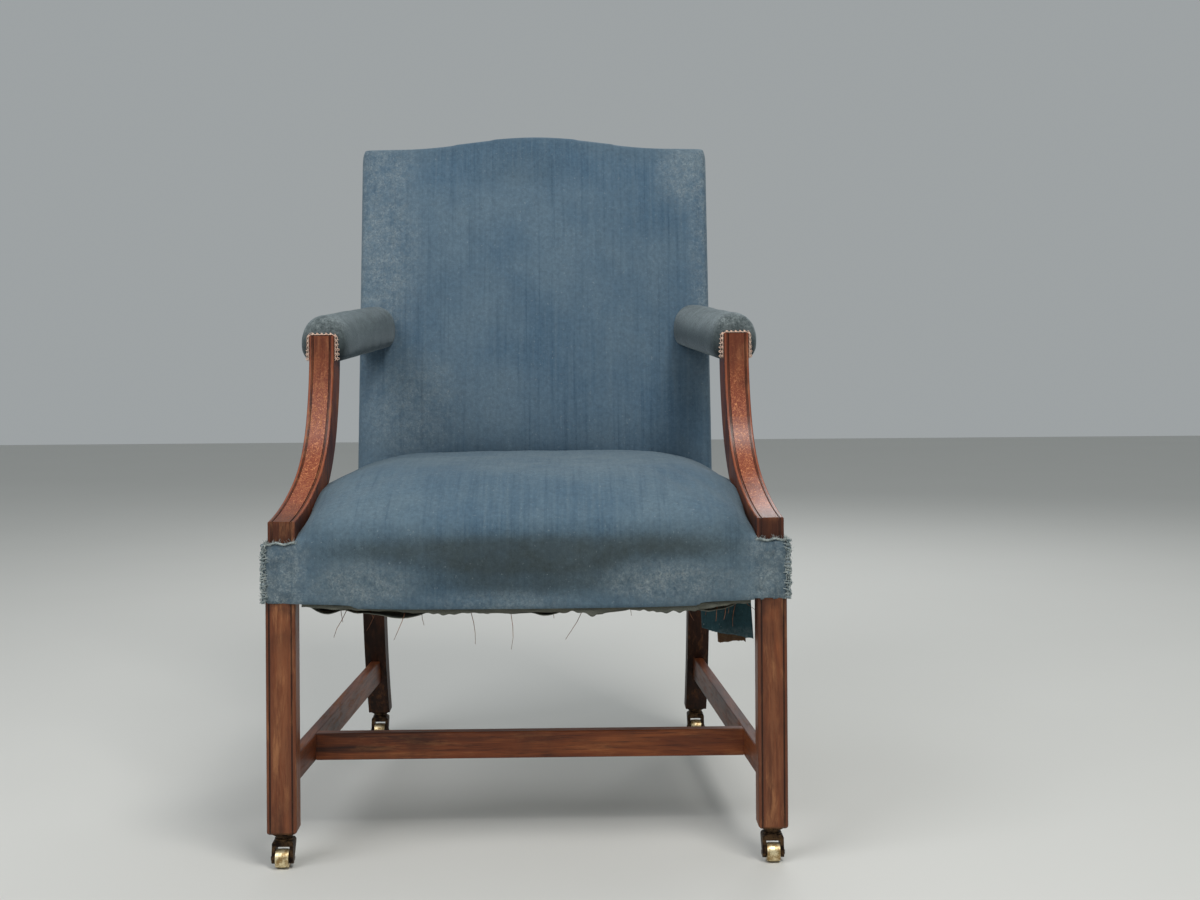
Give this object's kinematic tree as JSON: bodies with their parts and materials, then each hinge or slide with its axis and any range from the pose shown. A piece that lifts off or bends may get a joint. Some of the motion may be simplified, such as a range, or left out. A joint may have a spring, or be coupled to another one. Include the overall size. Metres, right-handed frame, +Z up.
{
  "type": "upholstered open armchair",
  "caption": "Open armchair with padded back, seat and arms, downswept moulded supports, square legs, H stretcher and swivelling castors.",
  "frame": {"origin": "on the floor under the middle of the chair's bounding box", "axes": "+Z up, -Y the way the sitter faces, +X to the right as seen by someone facing the chair"},
  "size_m": [0.667, 0.6777, 0.9995],
  "materials": {
    "mahogany": "worn polish, moulded edges",
    "beech": "plain sawn frame wood",
    "velvet": "faded blue cut velvet, rubbed and streaked",
    "webbing": "woven jute straps",
    "hessian": "open plain weave",
    "lining": "dusty plain cotton",
    "braid": "cream scroll gimp",
    "bronze": "dark patina",
    "brass": "worn bright treads",
    "steel": "dull old screws"
  },
  "bodies": {
    "chair": {"front_leg_left": "mahogany", "front_leg_right": "mahogany", "rear_post_left": "mahogany", "rear_post_right": "mahogany", "side_stretcher_left": "mahogany", "side_stretcher_right": "mahogany", "cross_stretcher": "mahogany", "arm_support_left": "mahogany", "arm_support_right": "mahogany", "front_seat_rail": "beech", "rear_seat_rail": "beech", "side_seat_rail_left": "beech", "side_seat_rail_right": "beech", "corner_blocks": "beech", "arm_rail_left": "beech", "arm_rail_right": "beech", "crest_rail": "beech", "lower_back_rail": "beech", "seat_pad": "velvet", "back_pad": "velvet", "outside_back": "velvet", "arm_pad_left": "velvet", "arm_pad_right": "velvet", "cover_flap": "velvet", "seat_webbing": "webbing", "back_webbing": "webbing", "seat_hessian": "hessian", "back_hessian": "hessian", "bottom_cloth": "lining", "arm_braid_left": "braid", "arm_braid_right": "braid", "castor_plate_front_left": "bronze", "castor_plate_front_right": "bronze", "castor_plate_rear_left": "bronze", "castor_plate_rear_right": "bronze", "castor_screws": "steel"},
    "castor_fork_front_left": {"castor_horn_front_left": "bronze", "castor_axle_front_left": "steel"},
    "castor_roller_front_left": {"castor_wheel_front_left": "brass"},
    "castor_fork_front_right": {"castor_horn_front_right": "bronze", "castor_axle_front_right": "steel"},
    "castor_roller_front_right": {"castor_wheel_front_right": "brass"},
    "castor_fork_rear_left": {"castor_horn_rear_left": "bronze", "castor_axle_rear_left": "steel"},
    "castor_roller_rear_left": {"castor_wheel_rear_left": "brass"},
    "castor_fork_rear_right": {"castor_horn_rear_right": "bronze", "castor_axle_rear_right": "steel"},
    "castor_roller_rear_right": {"castor_wheel_rear_right": "brass"}
  },
  "joints": [
    {"name": "swivel_front_left", "type": "hinge", "parent": "chair", "child": "castor_fork_front_left", "pos_m": [-0.311, -0.31635, 0.036], "axis": [0, 0, 1], "continuous": true},
    {"name": "roll_front_left", "type": "hinge", "parent": "castor_fork_front_left", "child": "castor_roller_front_left", "pos_m": [-0.311, -0.32535, 0.012], "axis": [1, 0, 0], "continuous": true},
    {"name": "swivel_front_right", "type": "hinge", "parent": "chair", "child": "castor_fork_front_right", "pos_m": [0.311, -0.31635, 0.036], "axis": [0, 0, 1], "continuous": true},
    {"name": "roll_front_right", "type": "hinge", "parent": "castor_fork_front_right", "child": "castor_roller_front_right", "pos_m": [0.311, -0.32535, 0.012], "axis": [1, 0, 0], "continuous": true},
    {"name": "swivel_rear_left", "type": "hinge", "parent": "chair", "child": "castor_fork_rear_left", "pos_m": [-0.263, 0.31265, 0.036], "axis": [0, 0, 1], "continuous": true},
    {"name": "roll_rear_left", "type": "hinge", "parent": "castor_fork_rear_left", "child": "castor_roller_rear_left", "pos_m": [-0.263, 0.30365, 0.012], "axis": [1, 0, 0], "continuous": true},
    {"name": "swivel_rear_right", "type": "hinge", "parent": "chair", "child": "castor_fork_rear_right", "pos_m": [0.263, 0.31265, 0.036], "axis": [0, 0, 1], "continuous": true},
    {"name": "roll_rear_right", "type": "hinge", "parent": "castor_fork_rear_right", "child": "castor_roller_rear_right", "pos_m": [0.263, 0.30365, 0.012], "axis": [1, 0, 0], "continuous": true}
  ]
}
